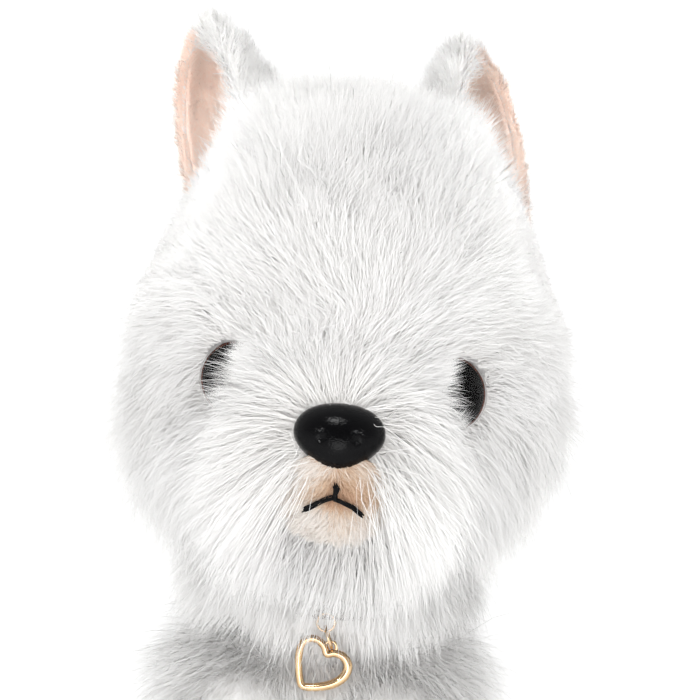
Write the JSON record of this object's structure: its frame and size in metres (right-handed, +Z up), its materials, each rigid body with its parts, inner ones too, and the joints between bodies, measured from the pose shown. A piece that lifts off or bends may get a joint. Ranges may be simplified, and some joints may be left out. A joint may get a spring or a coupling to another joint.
{
  "type": "plush dog",
  "caption": "Seated long-pile plush dog with safety eyes, pebbled nose, upright lined ears and a collar with an open heart charm.",
  "frame": {"origin": "on the flat seat panel, in the dog's middle plane, where it rests on the floor", "axes": "+Z up, the face looks along -Y, the dog's own left side is +X"},
  "size_m": [0.1148, 0.1516, 0.2534],
  "materials": {
    "white_pile": "matte",
    "fibre_fill": "matte",
    "tan_pile": "matte",
    "peach_pile": "matte",
    "black_plastic": "gloss",
    "brown_plastic": "gloss",
    "clear_plastic": "gloss",
    "white_plastic": "satin",
    "black_thread": "matte",
    "beige_thread": "matte",
    "white_thread": "matte",
    "pellets": "satin",
    "lining_cloth": "matte",
    "base_cloth": "matte",
    "label_tape": "satin",
    "collar_leather": "satin",
    "gold_metal": "polished"
  },
  "bodies": {
    "torso": {"torso_skin": "white_pile", "torso_stuffing": "fibre_fill", "seat_panel": "base_cloth", "bean_bag": "lining_cloth", "bean_pellets": "pellets", "closing_stitches": "white_thread", "care_label": "label_tape"},
    "neck": {"neck_skin": "white_pile", "neck_stuffing": "fibre_fill"},
    "head": {"head_skin": "white_pile", "head_stuffing": "fibre_fill", "nose": "black_plastic", "nose_washer": "white_plastic", "muzzle_patch": "tan_pile", "mouth_stitches": "black_thread", "left_eye_cap": "clear_plastic", "left_eye_pupil": "black_plastic", "left_eye_iris": "brown_plastic", "left_eye_washer": "white_plastic", "right_eye_cap": "clear_plastic", "right_eye_pupil": "black_plastic", "right_eye_iris": "brown_plastic", "right_eye_washer": "white_plastic"},
    "tail": {"tail_skin": "white_pile", "tail_stuffing": "fibre_fill"},
    "collar": {"collar_strap": "collar_leather", "collar_buckle": "gold_metal", "collar_loop": "gold_metal"},
    "ring": {"jump_ring": "gold_metal"},
    "charm": {"heart_charm": "gold_metal"},
    "left_ear": {"left_ear_back": "white_pile", "left_ear_lining": "peach_pile"},
    "left_front_leg": {"left_front_leg_skin": "white_pile", "left_front_leg_stuffing": "fibre_fill", "left_front_toe_stitches": "beige_thread"},
    "left_hind_leg": {"left_hind_leg_skin": "white_pile", "left_hind_leg_stuffing": "fibre_fill", "left_hind_toe_stitches": "beige_thread"},
    "right_ear": {"right_ear_back": "white_pile", "right_ear_lining": "peach_pile"},
    "right_front_leg": {"right_front_leg_skin": "white_pile", "right_front_leg_stuffing": "fibre_fill", "right_front_toe_stitches": "beige_thread"},
    "right_hind_leg": {"right_hind_leg_skin": "white_pile", "right_hind_leg_stuffing": "fibre_fill", "right_hind_toe_stitches": "beige_thread"}
  },
  "joints": [
    {"name": "collar_turn", "type": "hinge", "parent": "torso", "child": "collar", "pos_m": [0, -0.007, 0.1075], "axis": [0, 0, 1], "range_deg": [-18, 18]},
    {"name": "neck_turn", "type": "hinge", "parent": "torso", "child": "neck", "pos_m": [0, -0.007, 0.112], "axis": [0, 0, 1], "range_deg": [-25, 25], "stiffness_Nm_per_rad": 0.3},
    {"name": "head_nod", "type": "hinge", "parent": "neck", "child": "head", "pos_m": [0, -0.007, 0.112], "axis": [1, 0, 0], "range_deg": [-10, 12], "stiffness_Nm_per_rad": 0.9},
    {"name": "ring_swing", "type": "hinge", "parent": "collar", "child": "ring", "pos_m": [0, -0.03665, 0.1019], "axis": [0, 1, 0], "range_deg": [-30, 30]},
    {"name": "charm_swing", "type": "hinge", "parent": "ring", "child": "charm", "pos_m": [0.00144, -0.03665, 0.09795], "axis": [-0.9397, 0, -0.342], "range_deg": [-8, 60]},
    {"name": "left_ear_flex", "type": "hinge", "parent": "head", "child": "left_ear", "pos_m": [0.037, 0.004, 0.21161], "axis": [0.6022, 0.788, 0.128], "range_deg": [-12, 12], "stiffness_Nm_per_rad": 0.03},
    {"name": "left_front_leg_swing", "type": "hinge", "parent": "torso", "child": "left_front_leg", "pos_m": [0.018, -0.026, 0.076], "axis": [-1, 0, 0], "range_deg": [-8, 30], "stiffness_Nm_per_rad": 0.3},
    {"name": "left_hind_leg_lift", "type": "hinge", "parent": "torso", "child": "left_hind_leg", "pos_m": [0.042, 0.008, 0.027], "axis": [-1, 0, 0], "range_deg": [-10, 25], "stiffness_Nm_per_rad": 0.3},
    {"name": "right_ear_flex", "type": "hinge", "parent": "head", "child": "right_ear", "pos_m": [-0.037, 0.004, 0.21161], "axis": [0.6022, -0.788, 0.128], "range_deg": [-12, 12], "stiffness_Nm_per_rad": 0.03},
    {"name": "right_front_leg_swing", "type": "hinge", "parent": "torso", "child": "right_front_leg", "pos_m": [-0.018, -0.026, 0.076], "axis": [-1, 0, 0], "range_deg": [-8, 30], "stiffness_Nm_per_rad": 0.3},
    {"name": "right_hind_leg_lift", "type": "hinge", "parent": "torso", "child": "right_hind_leg", "pos_m": [-0.042, 0.008, 0.027], "axis": [-1, 0, 0], "range_deg": [-10, 25], "stiffness_Nm_per_rad": 0.3},
    {"name": "tail_wag", "type": "hinge", "parent": "torso", "child": "tail", "pos_m": [0, 0.057, 0.036], "axis": [0, 1, 0], "range_deg": [-25, 25], "stiffness_Nm_per_rad": 0.05}
  ]
}
